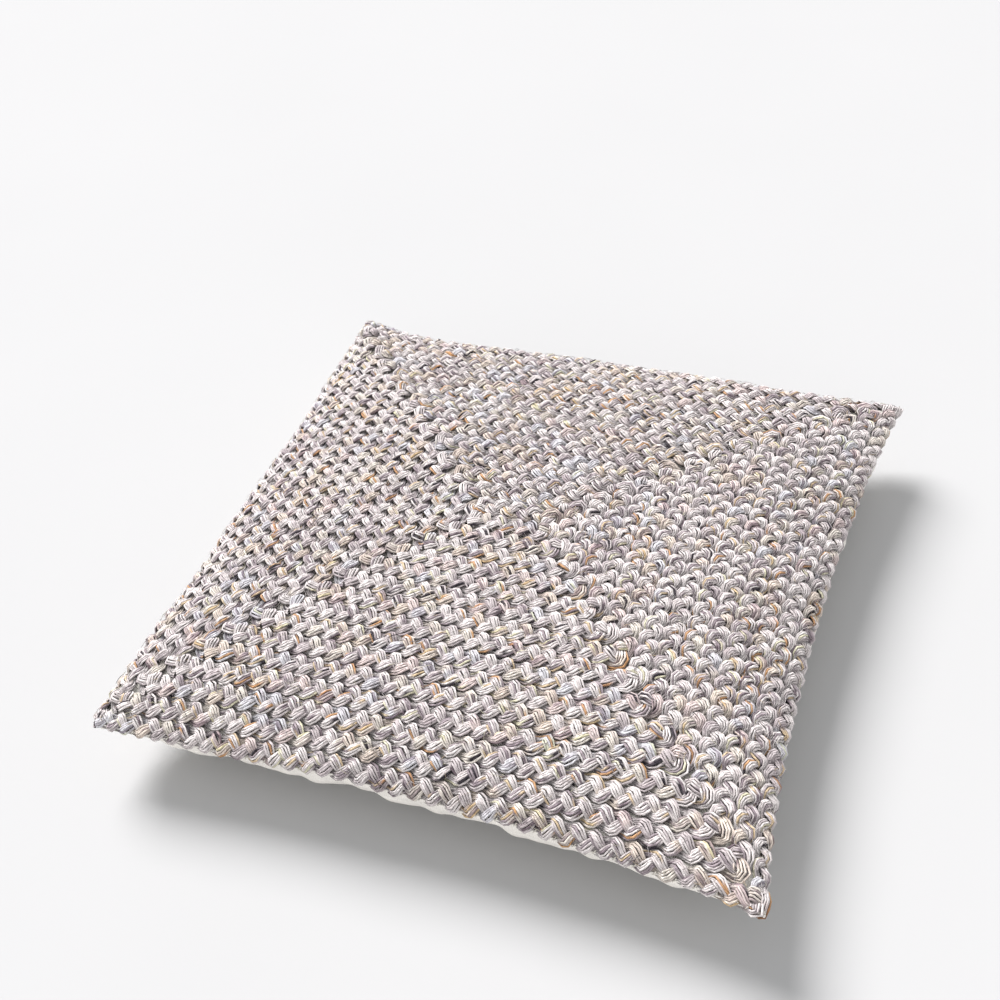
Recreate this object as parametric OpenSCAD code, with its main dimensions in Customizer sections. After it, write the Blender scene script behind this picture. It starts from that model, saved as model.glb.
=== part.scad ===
// Square throw pillow: a cover of braided rounds with a cotton back, a zip along one side,
// and a loose insert pad. It lies on its back panel, with the braided face up.
// Front is -Y, the zip is along the +Y side. Millimetres.

/* [Cover] */
// Length of one side, from corner to corner of the edge seam
side = 500; // [420:10:600]
// How far the middle of each plain side is drawn in from its corners
side_pull = 14; // [8:1:20]
// How far the point of each corner is rounded back
corner_tuck = 6; // [0:1:10]
// Height of the edge seam above the surface the pillow rests on
seam_height = 48; // [44:1:60]
// Rise of the braided crown above the edge seam
crown_rise = 46; // [36:1:70]
// Part of the back, from its middle outwards, that lies flat
flat_share = 0.6; // [0.4:0.05:0.7]

/* [Braid] */
// Number of braided rounds from the middle to the edge seam
rounds = 15; // [8:1:16]
// Thickness of the flat braid
braid_t = 6; // [4:0.5:8]
// Gap left between neighbouring rounds for their joining thread
round_gap = 2; // [1.6:0.1:2.4]
// Half length of the slit that the innermost round is folded round
slit = 25; // [10:1:30]

/* [Zip] */
// Length of the zip between its stops
zip_length = 270; // [180:10:280]
// Height of the middle of the zip above the resting surface
zip_height = 36; // [34:1:38]
// Width of one zip tape
tape_w = 6; // [5:0.5:6]
// Length of the pull tab from its hinge
pull_length = 24; // [16:1:30]

/* [Insert] */
// Space between the cover's lining and the insert pad
insert_ease = 1.8; // [1:0.2:6]

/* [Hidden] */
function round_name(k) = str("braid_round_", k < 10 ? "0" : "", k);

half = side / 2;
seam_gap = 0.6;            // clear height between the front layers and the back layers
cloth_t = 1.2;             // thickness of the back panel and the linings
lining_gap = 0.8;          // clear depth between the braid and its lining
thread_d = 1.2;            // thickness of the sewing threads
slit_share = slit / half;
half_gap = round_gap / 2 / (half - slit);   // half of the gap between rounds, as a share
side_steps = 10;           // grid steps along one side of a round
around = 4 * side_steps;   // grid steps once round
crown_power = 0.28;        // below 0.5, so the crown is broad with a steep edge
ring_even = 0.69;          // spreads the rounds evenly over the curved crown
corner_lift = [4, 22, 20, 6];  // extra seam height at corners -X-Y, -X+Y, +X+Y, +X-Y
zip_straight = 0.64;       // share of the zip side that is sewn straight
coarse_shares = [for (k = [3, 6, 9, 11, 12, 13, 14, 15]) k / 15];

// ---- the curved body that every soft layer follows ----

// Distance from the middle, 0 to 1, of the edge of a round whose number is share * rounds.
function ring(share) = sin(90 * share * (ring_even + (1 - ring_even) * pow(share, 4)));

// Direction of grid step i, as a point on the edge of a 2 x 2 square.
function turn(i) = let(
        j = i % around,
        edge = floor(j / side_steps),
        f = 2 * (j % side_steps) / side_steps - 1)
    edge == 0 ? [f, -1] : edge == 1 ? [1, f] : edge == 2 ? [-f, 1] : [-1, -f];

// The same point carried in to distance s, on a rectangle that closes to the slit at s = 0.
function uv(i, s) = [turn(i).x * (slit_share + (1 - slit_share) * s), turn(i).y * s];

function corner_height(p) =
    corner_lift[p.x > 0 ? (p.y > 0 ? 2 : 3) : (p.y > 0 ? 1 : 0)] * pow(abs(p.x * p.y), 6);

function pull_front(u) = 1 - u * u;
function pull_zip(u) = 1 - pow(max(0, (abs(u) - zip_straight) / (1 - zip_straight)), 1.6);

// Plan position of p, for a layer set in by d from the outside of the cover.
function plan(p, d) = let(
        tuck = corner_tuck * pow(abs(p.x * p.y), 6),
        pull_y = side_pull * (p.y > 0 ? pull_zip(p.x) : pull_front(p.x)))
    [p.x * (half - d - side_pull * (1 - p.y * p.y)) - sign(p.x) * tuck,
     p.y * (half - d - pull_y) - sign(p.y) * tuck];

function crown(p) =
    pow(max(0, (1 - min(1, p.x * p.x)) * (1 - min(1, p.y * p.y))), crown_power);

// A point of the upper surface at depth d, and of the lower surface at depth d.
function upper(i, s, d) = let(p = uv(i, s))
    concat(plan(p, d),
           [seam_height + corner_height(p) + seam_gap / 2 + (crown_rise - d) * crown(p)]);
function lower(i, s, d, floor_z) = let(
        p = uv(i, s),
        t = max(0, (s - flat_share) / (1 - flat_share)),
        rim = seam_height + corner_height(p) - seam_gap / 2)
    concat(plan(p, d), [floor_z + (rim - floor_z) * (1 - sqrt(max(0, 1 - t * t)))]);

// Closed band: rings is a list of loops of points. Neighbouring loops are joined, and the
// last loop is joined to the first when closed, or both ends are capped flat. Loops from
// number turn_row on run back inwards, so their quads are split along the other diagonal:
// that way the facets of two nested layers lie side by side.
module loft(rings, closed = false, turn_row = 1000) {
    n = len(rings);
    m = len(rings[0]);
    last = closed ? n - 1 : n - 2;
    quads = [for (r = [0:last], i = [0:m - 1]) let(
        a = r * m + i, b = r * m + (i + 1) % m,
        q = (r + 1) % n, c = q * m + (i + 1) % m, d = q * m + i)
        each r < turn_row ? [[a, b, c], [a, c, d]] : [[a, b, d], [b, c, d]]];
    caps = closed ? [] : [[for (i = [m - 1:-1:0]) i], [for (i = [0:m - 1]) (n - 1) * m + i]];
    polyhedron(points = [for (r = rings) each r], faces = concat(quads, caps), convexity = 8);
}

function upper_ring(s, d) = [for (i = [0:around - 1]) upper(i, s, d)];
function lower_ring(s, d, floor_z) = [for (i = [0:around - 1]) lower(i, s, d, floor_z)];

// Flat middle of a sheet, so that its innermost loop is level.
function level(loop) = let(z = min([for (p = loop) p.z])) [for (p = loop) [p.x, p.y, z]];

// Sheet of the upper side between depths d0 and d1, and of the lower side likewise.
module upper_sheet(d0, d1) {
    inner = [for (t = coarse_shares) upper_ring(ring(t), d1)];
    outer = [for (t = coarse_shares) upper_ring(ring(t), d0)];
    n = len(inner);
    loft(concat([for (r = [0:n - 1]) r == 0 ? level(inner[r]) : inner[r]],
                [for (r = [n - 1:-1:0]) r == 0 ? level(outer[r]) : outer[r]]), turn_row = n - 1);
}

function lower_shares() = [flat_share, for (k = [1:6]) flat_share + (1 - flat_share) * sin(15 * k)];

module lower_sheet(d0, d1, z0, z1) {
    outer = [for (s = lower_shares()) lower_ring(s, d0, z0)];
    inner = [for (s = lower_shares()) lower_ring(s, d1, z1)];
    n = len(outer);
    loft(concat(outer, [for (r = [n - 1:-1:0]) inner[r]]), turn_row = n - 1);
}

// Thread that runs once round a loop of points, three-sided.
module loop_thread(loop, r) {
    loft([for (a = [90, 330, 210]) [for (p = loop) let(c = p / norm([p.x, p.y]))
        [p.x + c.x * r * cos(a), p.y + c.y * r * cos(a), p.z + r * sin(a)]]], closed = true);
}

// ---- cover ----

module braid_round(k) {
    s0 = ring((k - 1) / rounds) + half_gap;
    s1 = ring(k / rounds) - (k == rounds ? 0 : half_gap);
    color(k % 2 == 0 ? "#c9bfba" : "#d3cac5")
        loft([upper_ring(s0, 0), upper_ring(s0, braid_t), upper_ring(s1, braid_t),
              upper_ring(s1, 0)], closed = true, turn_row = 2);
}

// One thread in the middle of each gap between two rounds, along the underside of the braid.
module joining_thread() {
    d = braid_t - thread_d * 0.4;
    color("#bfb6b0") for (k = [1:rounds - 1])
        loop_thread((upper_ring(ring(k / rounds) - half_gap, d)
                     + upper_ring(ring(k / rounds) + half_gap, d)) / 2, thread_d * 0.2);
}

module front_lining() {
    d = braid_t + lining_gap;
    color("#e6dfd2") upper_sheet(d, d + cloth_t);
}

module back_panel() {
    slot = [zip_length + 2 * zip_slot_ends, 14, 2 * (tape_w + coil_gap + 0.3)];
    color("#ded8ce") difference() {
        lower_sheet(0, cloth_t, 0, cloth_t);
        on_zip() cube(slot, center = true);
    }
}

module edge_seam_thread() {
    color("#e8e2d6") loop_thread(
        [for (p = upper_ring(1, -thread_d)) [p.x, p.y, p.z - seam_gap / 2]], thread_d * 0.5);
}

// Folded tab sewn under the edge seam, past the end of the zip.
module care_label() {
    label = [20, 0.9, 32];
    turn_out = 4.6;          // the seam starts to swing out to its corner here
    clear = 0.4;
    color("#f1efe9")
        translate([half * 0.62, zip_side_y + clear, seam_height - thread_d - label.z])
            rotate([0, 0, turn_out]) cube(label);
}

// ---- zip, drawn along X in its own frame: +Y outwards, +Z up the side ----

zip_side_y = half - side_pull;   // y of the edge seam along the straight side
zip_inset = 3.8;                 // how far the zip lies in from that seam
zip_tilt = 26;                   // lean of the side of the cover at the height of the zip
zip_slot_ends = 15;              // length of the panel's slot past the stops, at each end
tape_t = 0.7;
tape_end = 12;                   // length of tape past the coils, at each end
coil_t = 1.8;
coil_w = 1.9;
coil_gap = 0.8;                  // from the middle of the zip to each coil
slider_l = 14;
slider_w = 9;
slider_run = 0.4;                // clearance of the slider on the coils
wing_t = 1.2;
slider_x = -zip_length / 2 + slider_l / 2 + 4;
pin_r = 1;
pin_y = 7.4;                     // height of the pull's hinge above the tape
pull_w = 3.2;

module on_zip() {
    translate([0, zip_side_y - zip_inset, zip_height]) rotate([-zip_tilt, 0, 0]) children();
}

module zip_tape(up) {
    color("#d9d2c5") on_zip() mirror([0, 0, up ? 0 : 1])
        translate([-zip_length / 2 - tape_end, 0, coil_gap])
            cube([zip_length + 2 * tape_end, tape_t, tape_w]);
}
module zip_tape_upper() { zip_tape(true); }
module zip_tape_lower() { zip_tape(false); }

module zip_coil(up) {
    color("#cfc7b8") on_zip() mirror([0, 0, up ? 0 : 1])
        translate([-zip_length / 2, tape_t, coil_gap]) cube([zip_length, coil_t, coil_w]);
}
module zip_coil_upper() { zip_coil(true); }
module zip_coil_lower() { zip_coil(false); }

// Crimped stops: one on each tape at the closed end, and one across both at the other end.
module zip_top_stops() {
    color("#b9b2a4") on_zip() for (up = [0, 1]) mirror([0, 0, up])
        translate([-zip_length / 2 - 4, tape_t, coil_gap + 0.1]) cube([3, coil_t, coil_w]);
}

module zip_bottom_stop() {
    color("#b9b2a4") on_zip()
        translate([zip_length / 2 + 1, tape_t, -coil_gap - coil_w])
            cube([4, coil_t, 2 * (coil_gap + coil_w)]);
}

module rounded_plate(length, width, thick) {
    r = width / 3;
    rotate([90, 0, 0]) translate([0, 0, -thick]) linear_extrude(thick) union() {
        square([length, width - 2 * r], center = true);
        square([length - 2 * r, width], center = true);
        for (x = [-1, 1], z = [-1, 1])
            translate([x * (length / 2 - r), z * (width / 2 - r)]) circle(r, $fn = 24);
    }
}

module zip_slider() {
    wing_y = tape_t + coil_t + slider_run;
    lip_z = coil_gap + coil_w + slider_run;
    lip_t = 0.9;
    bail_w = pull_w / 2 + 0.3;
    color("#c8c2b4") on_zip() translate([slider_x, 0, 0]) union() {
        translate([0, wing_y, 0]) rounded_plate(slider_l, slider_w, wing_t);
        translate([0, -slider_run - wing_t, 0]) rounded_plate(slider_l, slider_w, wing_t);
        translate([-slider_l / 2 + 1, -slider_run - 0.1, -slider_run])
            cube([3, wing_y + slider_run + 0.2, 2 * slider_run]);
        for (up = [0, 1]) mirror([0, 0, up]) {
            translate([-slider_l / 2 + 3, tape_t + slider_run, lip_z])
                cube([slider_l - 6, wing_y - tape_t - slider_run + 0.1, lip_t]);
            translate([-1.6, wing_y + wing_t - 0.1, bail_w])
                cube([3.2, pin_y - wing_y - wing_t + 1.4, 1]);
        }
        translate([0, pin_y, -bail_w - 0.5]) cylinder(h = 2 * bail_w + 1, r = pin_r, $fn = 48);
    }
}

module zip_pull() {
    eye_r = 2.1;
    color("#cdc7ba") on_zip() translate([slider_x, pin_y, 0]) difference() {
        union() {
            translate([0, 0, -pull_w / 2]) cylinder(h = pull_w, r = eye_r, $fn = 48);
            translate([0, -0.7, -pull_w / 2]) cube([pull_length * 0.5, 1.4, pull_w]);
            translate([pull_length * 0.72, -0.7, 0])
                rounded_plate(pull_length * 0.56, slider_w * 0.8, 1.4);
        }
        translate([0, 0, -pull_w]) cylinder(h = 2 * pull_w, r = pin_r + 0.06, $fn = 48);
        translate([pull_length * 0.84, 5, 0]) rotate([90, 0, 0]) cylinder(h = 10, r = 1.5, $fn = 32);
    }
}

// ---- insert ----

layer_gap = 0.8;                 // between the insert's shells, its fill and the cover
insert_d = braid_t + lining_gap + cloth_t + insert_ease;
insert_floor = cloth_t + layer_gap;

module insert_shell_front() {
    color("#efece4") upper_sheet(insert_d, insert_d + cloth_t);
}

module insert_shell_back() {
    color("#efece4")
        lower_sheet(insert_d, insert_d + cloth_t, insert_floor, insert_floor + cloth_t);
}

module insert_seam_thread() {
    seam = upper_ring(1, insert_d - thread_d);
    color("#e2dccf")
        loop_thread([for (p = seam) [p.x, p.y, p.z - seam_gap / 2]], thread_d * 0.5);
}

module insert_fill() {
    d = insert_d + cloth_t + layer_gap;
    top = [for (t = coarse_shares) upper_ring(ring(t), d)];
    n = len(top);
    color("#f6f5f1") loft(concat(
        [for (s = lower_shares()) lower_ring(s, d, insert_floor + cloth_t + layer_gap)],
        [for (r = [n - 1:-1:0]) r == 0 ? level(top[r]) : top[r]]),
        turn_row = len(lower_shares()) - 1);
}

for (k = [1:rounds])
    braid_round(k);
joining_thread();
front_lining();
back_panel();
edge_seam_thread();
care_label();
zip_tape_upper();
zip_tape_lower();
zip_coil_upper();
zip_coil_lower();
zip_top_stops();
zip_bottom_stop();
zip_slider();
zip_pull();
insert_shell_front();
insert_shell_back();
insert_seam_thread();
insert_fill();
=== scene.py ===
"""Looks of a braided throw pillow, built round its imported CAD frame.

The frame is in metres, +Z up, with the front at -Y, the zip along the +Y side and the back
panel on the floor. Sizes below are in millimetres unless a name says otherwise.
"""
import math

import bmesh
import bpy
import numpy as np
from mathutils import Matrix, Vector


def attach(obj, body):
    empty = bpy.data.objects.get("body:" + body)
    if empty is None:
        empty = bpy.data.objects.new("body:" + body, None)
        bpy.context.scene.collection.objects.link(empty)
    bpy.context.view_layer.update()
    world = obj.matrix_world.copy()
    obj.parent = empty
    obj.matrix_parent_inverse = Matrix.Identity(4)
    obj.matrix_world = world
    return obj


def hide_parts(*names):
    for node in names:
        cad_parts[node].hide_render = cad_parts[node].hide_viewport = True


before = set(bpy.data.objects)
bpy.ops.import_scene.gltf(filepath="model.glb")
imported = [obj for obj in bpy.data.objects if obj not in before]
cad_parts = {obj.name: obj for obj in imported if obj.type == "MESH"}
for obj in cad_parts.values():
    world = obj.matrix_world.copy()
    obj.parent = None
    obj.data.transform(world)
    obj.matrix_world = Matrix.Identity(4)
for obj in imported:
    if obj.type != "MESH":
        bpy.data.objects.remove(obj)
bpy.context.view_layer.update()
MM = 0.001

# ---- sizes of the cover ----
HALF = 250.0                       # half of the side, corner to corner of the edge seam
SIDE_PULL = 15.5                   # how far the right side is drawn in
FRONT_PULL = 13.5                  # the same for the front side
LEFT_PULL = 10.5                   # the same for the left side
ZIP_PULL = 14.0                    # the same for the side that holds the zip
ZIP_STRAIGHT = 0.64                # share of the zip side that is sewn straight
SEAM_HEIGHT = 49.5
CROWN_RISE = 35.0
CROWN_POWER = (0.25, 0.43, 0.44, 0.32)    # left, right, front, back: lower is fuller
BACK_BULGE = 9.0                   # how far the full back side leans out over its seam
SIDE_BULGE = 7.0                   # how far the back panel stands out below the seam
FLAT_SHARE = 0.6                   # part of the back that lies flat
CORNER_LIFT = (1.0, 16.0, 2.0, 3.0)       # at corners -X-Y, -X+Y, +X+Y, +X-Y
CORNER_TUCK = (4.5, 14.0, -2.0, -6.0)     # how far each corner is drawn in, same order
SEAM_DEPTH = 2.0                   # the edge seam lies this far in from the outside

# ---- braid ----
ROUNDS = 15
SLIT = 25.0                        # half length of the slit in the middle
COLUMN = (HALF - SLIT) / ROUNDS    # width of a round on the left and right sides
ROW = HALF / ROUNDS                # width of a round on the front and back sides
STITCH = 13.0                      # from one chevron to the next
SWING = 5.35                       # sideways swing of a strand
RISE = 1.7                         # rise and fall of a strand as it crosses the others
LEAN = 0.34                        # hurries a strand over the top, so its leaf lies steeper
YARNS = (-2.9, -1.5, 0.0, 1.5, 2.9)       # the yarns that lie side by side in a strand
YARN_R = 0.86
YARN_SIDES = 5
YARN_STEP = 2.35
BRAID_DEPTH = 3.0                  # the braid's middle layer below the outside
OFF_MIDDLE = (-7.0, 6.0)           # the slit lies this far off the middle of the cover
OVERHANG = 2.2                     # how far the outermost round reaches over the edge seam
FUZZ_STEP = 2.6                    # length of braid for each stray fibre


# ---- small helpers ----

def smooth(x):
    x = np.clip(x, 0.0, 1.0)
    return x * x * (3.0 - 2.0 * x)


def unit(v):
    return v / np.maximum(np.linalg.norm(v, axis=-1, keepdims=True), 1e-12)


def wander(rng, x, length, waves=7):
    """A smooth random curve of x, about -1 to 1, whose waves are about `length` long."""
    total = np.zeros_like(x, dtype=float)
    for _ in range(waves):
        k = 2 * math.pi / (length * rng.uniform(0.6, 1.9))
        total += np.sin(k * x + rng.uniform(0, 2 * math.pi)) * rng.uniform(0.5, 1.0)
    return total / math.sqrt(waves)


def mesh_object(name, verts, faces, smooth_shading=True):
    """A mesh from points in millimetres and an array of faces that all have the same corners."""
    faces = np.asarray(faces, np.int32)
    corners = faces.shape[1]
    mesh = bpy.data.meshes.new(name)
    mesh.vertices.add(len(verts))
    mesh.vertices.foreach_set("co", (np.asarray(verts, float) * MM).astype(np.float32).ravel())
    mesh.loops.add(faces.size)
    mesh.loops.foreach_set("vertex_index", faces.ravel())
    mesh.polygons.add(len(faces))
    mesh.polygons.foreach_set("loop_start", np.arange(len(faces), dtype=np.int32) * corners)
    mesh.polygons.foreach_set("use_smooth", np.full(len(faces), smooth_shading))
    mesh.update(calc_edges=True)
    mesh.validate()
    obj = bpy.data.objects.new(name, mesh)
    bpy.context.scene.collection.objects.link(obj)
    return obj


def weld(obj):
    """Joins points that lie in the same place, so that grids become one closed surface."""
    work = bmesh.new()
    work.from_mesh(obj.data)
    bmesh.ops.remove_doubles(work, verts=work.verts, dist=1e-6)
    work.to_mesh(obj.data)
    work.free()
    obj.data.update()


def add_uv(obj, name, values):
    """values holds one (u, v) for each corner of each face, in face order."""
    layer = obj.data.uv_layers.new(name=name)
    layer.data.foreach_set("uv", np.asarray(values, np.float32).ravel())


def add_tint(obj, colours):
    """One linear colour for each vertex, which the materials read as Tint; on the braid's yarns it
    holds painted shade as well as the yarn's colour.
    """
    layer = obj.data.color_attributes.new("Tint", "FLOAT_COLOR", "POINT")
    rgba = np.concatenate([colours, np.ones((len(colours), 1))], axis=1)
    layer.data.foreach_set("color", rgba.astype(np.float32).ravel())


def finish_piece(obj, material, body="pillow", stands_for=()):
    obj.data.materials.clear()
    obj.data.materials.append(material)
    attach(obj, body)
    if stands_for:
        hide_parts(*stands_for)
    return obj


# ---- camera, light and floor ----

def make_camera():
    azimuth, elevation, roll = (math.radians(a) for a in (25.30, 43.17, -6.91))
    target = Vector((-0.0392, 0.0571, 0.05))
    distance_m = 1.2288
    back = Vector((math.sin(azimuth) * math.cos(elevation),
                   -math.cos(azimuth) * math.cos(elevation), math.sin(elevation)))
    level = (-back).cross(Vector((0, 0, 1))).normalized()
    upright = level.cross(-back)
    right = math.cos(roll) * level + math.sin(roll) * upright
    up = -math.sin(roll) * level + math.cos(roll) * upright
    data = bpy.data.cameras.new("camera")
    data.lens = 54.0
    data.sensor_width = 36.0
    data.clip_end = 50.0
    camera = bpy.data.objects.new("camera", data)
    bpy.context.scene.collection.objects.link(camera)
    camera.matrix_world = Matrix.Translation(target + back * distance_m) @ Matrix(
        (right, up, back)).transposed().to_4x4()
    bpy.context.scene.camera = camera


def sun_light(name, from_where, spread_degrees, strength, colour):
    """Even light from one direction; a wide spread gives soft shadows."""
    data = bpy.data.lights.new(name, "SUN")
    data.angle = math.radians(spread_degrees)
    data.energy = strength
    data.color = colour
    light = bpy.data.objects.new(name, data)
    bpy.context.scene.collection.objects.link(light)
    light.rotation_euler = Vector(from_where).to_track_quat("Z", "Y").to_euler()


def make_studio():
    world = bpy.data.worlds.new("studio")
    bpy.context.scene.world = world
    world.use_nodes = True
    background = world.node_tree.nodes["Background"]
    background.inputs["Color"].default_value = (0.97, 0.98, 1.0, 1)
    background.inputs["Strength"].default_value = 0.70
    sun_light("key", (-0.85, 0.70, 1.0), 32.0, 5.1, (1.0, 0.985, 0.99))
    sun_light("fill", (0.10, -1.0, 0.17), 60.0, 0.8, (1.0, 0.99, 0.97))
    bpy.context.scene.view_settings.view_transform = "Standard"
    side_m = 12.0
    floor = mesh_object("floor", np.array([(-1, -1, 0), (1, -1, 0), (1, 1, 0), (-1, 1, 0)])
                        * side_m / 2 / MM, [(0, 1, 2, 3)], False)
    floor.location.z = -0.0004
    floor.data.materials.append(floor_material())


# ---- materials ----

class Nodes:
    """A short way to write a material: each call adds one node and links its inputs."""

    def __init__(self, name):
        self.material = bpy.data.materials.new(name)
        self.material.use_nodes = True
        self.tree = self.material.node_tree
        self.shader = self.tree.nodes["Principled BSDF"]

    def add(self, kind, inputs=(), **settings):
        node = self.tree.nodes.new(kind)
        for key, value in settings.items():
            setattr(node, key, value)
        for key, value in dict(inputs).items():
            self.put(node.inputs[key], value)
        return node

    def put(self, socket, value):
        if isinstance(value, bpy.types.NodeSocket):
            self.tree.links.new(value, socket)
        else:
            socket.default_value = value

    def math(self, operation, a, b=0.0):
        return self.add("ShaderNodeMath", {0: a, 1: b}, operation=operation).outputs[0]

    def noise(self, vector, scale, detail=3.0, roughness=0.5):
        node = self.add("ShaderNodeTexNoise", {"Vector": vector, "Scale": scale,
                                               "Detail": detail, "Roughness": roughness})
        return node.outputs["Fac"]

    def remap(self, value, low, high, to_low, to_high):
        node = self.add("ShaderNodeMapRange", {"Value": value, "From Min": low,
                                               "From Max": high, "To Min": to_low,
                                               "To Max": to_high})
        return node.outputs["Result"]

    def mix(self, factor, a, b, blend="MIX"):
        node = self.add("ShaderNodeMix", data_type="RGBA", blend_type=blend)
        for socket, value in zip((node.inputs[0], node.inputs[6], node.inputs[7]), (factor, a, b)):
            self.put(socket, value)
        return node.outputs[2]

    def grey(self, value):
        return self.add("ShaderNodeCombineColor", {0: value, 1: value, 2: value}).outputs[0]

    def bump(self, height, distance, strength=1.0):
        node = self.add("ShaderNodeBump", {"Height": height, "Distance": distance,
                                           "Strength": strength})
        self.put(self.shader.inputs["Normal"], node.outputs["Normal"])

    def surface(self, **inputs):
        names = {"colour": "Base Color", "roughness": "Roughness", "metallic": "Metallic",
                 "sheen": "Sheen Weight", "sheen_roughness": "Sheen Roughness",
                 "sheen_tint": "Sheen Tint", "specular": "Specular IOR Level",
                 "anisotropy": "Anisotropic", "subsurface": "Subsurface Weight",
                 "coat": "Coat Weight", "coat_roughness": "Coat Roughness"}
        for key, value in inputs.items():
            self.put(self.shader.inputs[names[key]], value)
        return self.material


def floor_material():
    n = Nodes("floor_paint")
    place = n.add("ShaderNodeTexCoord").outputs["Object"]
    speckle = n.remap(n.noise(place, 3.0), 0.3, 0.7, 0.985, 1.0)
    colour = n.mix(1.0, (0.512, 0.512, 0.512, 1), n.grey(speckle), "MULTIPLY")
    return n.surface(colour=colour, roughness=0.9, specular=0.1)


def yarn_material():
    """Loosely spun tweed yarn: the tint of each stretch, which holds painted shade as well as the
    yarn's colour, streaked along its fibres.
    """
    n = Nodes("braided_yarn")
    tint = n.add("ShaderNodeAttribute", attribute_name="Tint").outputs["Color"]
    uv = n.add("ShaderNodeUVMap", uv_map="YarnUV").outputs["UV"]
    parts = n.add("ShaderNodeSeparateXYZ", {0: uv})
    along, around = parts.outputs[0], parts.outputs[1]
    lay = n.math("ADD", n.math("MULTIPLY", along, 0.16), around)
    fibre_place = n.add("ShaderNodeCombineXYZ", {0: n.math("MULTIPLY", along, 0.22),
                                                 1: n.math("MULTIPLY", lay, 7.0)}).outputs[0]
    fibres = n.noise(fibre_place, 1.6, 4.0, 0.6)
    patches = n.noise(n.add("ShaderNodeCombineXYZ", {0: n.math("MULTIPLY", along, 0.55),
                                                     1: n.math("MULTIPLY", around, 2.5)}
                            ).outputs[0], 1.0, 4.0, 0.6)
    streak = n.remap(fibres, 0.30, 0.70, 0.70, 1.18)
    cloud = n.remap(patches, 0.32, 0.64, 0.74, 1.14)
    colour = n.mix(1.0, tint, n.grey(n.math("MULTIPLY", streak, cloud)), "MULTIPLY")
    ply = n.math("SINE", n.math("MULTIPLY", lay, 4.0 * math.pi))
    height = n.math("ADD", n.math("MULTIPLY", ply, 0.5), n.math("MULTIPLY", fibres, 1.1))
    n.bump(n.math("ADD", height, n.math("MULTIPLY", patches, 1.2)), 0.0004, 0.85)
    return n.surface(colour=colour, roughness=n.remap(fibres, 0.3, 0.7, 0.82, 0.95),
                     sheen=0.22, sheen_roughness=0.45, specular=0.18)


def woven_material(name, colour, thread_mm, contrast=0.12, depth_m=0.00012, slub=0.35):
    """Plain weave on the ClothUV map, whose unit is one millimetre."""
    n = Nodes(name)
    uv = n.add("ShaderNodeUVMap", uv_map="ClothUV").outputs["UV"]
    drift = n.add("ShaderNodeTexNoise", {"Vector": uv, "Scale": 0.04, "Detail": 2.0}).outputs[1]
    bent = n.add("ShaderNodeVectorMath", {0: uv, 1: n.add(
        "ShaderNodeVectorMath", {0: drift, "Scale": 1.4}, operation="SCALE").outputs[0]},
        operation="ADD").outputs[0]
    parts = n.add("ShaderNodeSeparateXYZ", {0: bent})
    turn = 2 * math.pi / (2 * thread_mm)
    warp = n.math("SINE", n.math("MULTIPLY", parts.outputs[0], turn))
    weft = n.math("SINE", n.math("MULTIPLY", parts.outputs[1], turn))
    over = n.math("MULTIPLY", warp, weft)
    ridges = n.math("ADD", n.math("ABSOLUTE", warp), n.math("ABSOLUTE", weft))
    height = n.math("ADD", over, n.math("MULTIPLY", ridges, 0.5))
    stretched = n.add("ShaderNodeMapping", {"Vector": uv, "Scale": (0.5, 0.02, 1)}).outputs[0]
    crossed = n.add("ShaderNodeMapping", {"Vector": uv, "Scale": (0.02, 0.5, 1)}).outputs[0]
    slubs = n.math("ADD", n.noise(stretched, 2.0, 3.0), n.noise(crossed, 2.0, 3.0))
    specks = n.noise(uv, 1.1, 4.0, 0.7)
    shade = n.math("ADD", n.remap(over, -1, 1, 1 - contrast, 1 + contrast * 0.4),
                   n.math("MULTIPLY", n.math("SUBTRACT", slubs, 1.0), slub))
    flecks = n.remap(specks, 0.66, 0.74, 1.0, 0.86)
    tone = n.mix(1.0, (*colour, 1), n.grey(n.math("MULTIPLY", shade, flecks)), "MULTIPLY")
    n.bump(n.math("ADD", height, n.math("MULTIPLY", slubs, 0.6)), depth_m, 0.7)
    return n.surface(colour=tone, roughness=n.remap(slubs, 0.7, 1.3, 0.78, 0.92),
                     sheen=0.15, sheen_roughness=0.5, specular=0.2)


def thread_material(name, colour):
    """Two-ply sewing thread, with its twist seen on the YarnUV map."""
    n = Nodes(name)
    uv = n.add("ShaderNodeUVMap", uv_map="YarnUV").outputs["UV"]
    parts = n.add("ShaderNodeSeparateXYZ", {0: uv})
    lay = n.math("ADD", n.math("MULTIPLY", parts.outputs[0], 0.9), parts.outputs[1])
    twist = n.math("SINE", n.math("MULTIPLY", lay, 4 * math.pi))
    shade = n.remap(twist, -1, 1, 0.8, 1.05)
    colour = n.mix(1.0, (*colour, 1), n.grey(shade), "MULTIPLY")
    n.bump(twist, 0.00012, 0.6)
    return n.surface(colour=colour, roughness=0.7, sheen=0.2, specular=0.3)


def enamel_material():
    """Die-cast zip metal under a thin coat of cream enamel, slightly pitted."""
    n = Nodes("zip_metal")
    place = n.add("ShaderNodeTexCoord").outputs["Object"]
    pits = n.noise(place, 900.0, 3.0)
    wear = n.noise(place, 420.0, 4.0, 0.65)
    tone = n.mix(n.remap(wear, 0.5, 0.75, 0.0, 0.5), (0.60, 0.56, 0.48, 1), (0.44, 0.39, 0.31, 1))
    n.bump(pits, 0.00003, 0.4)
    return n.surface(colour=tone, roughness=n.remap(wear, 0.3, 0.7, 0.28, 0.42),
                     specular=0.5, coat=0.4, coat_roughness=0.2)


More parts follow.
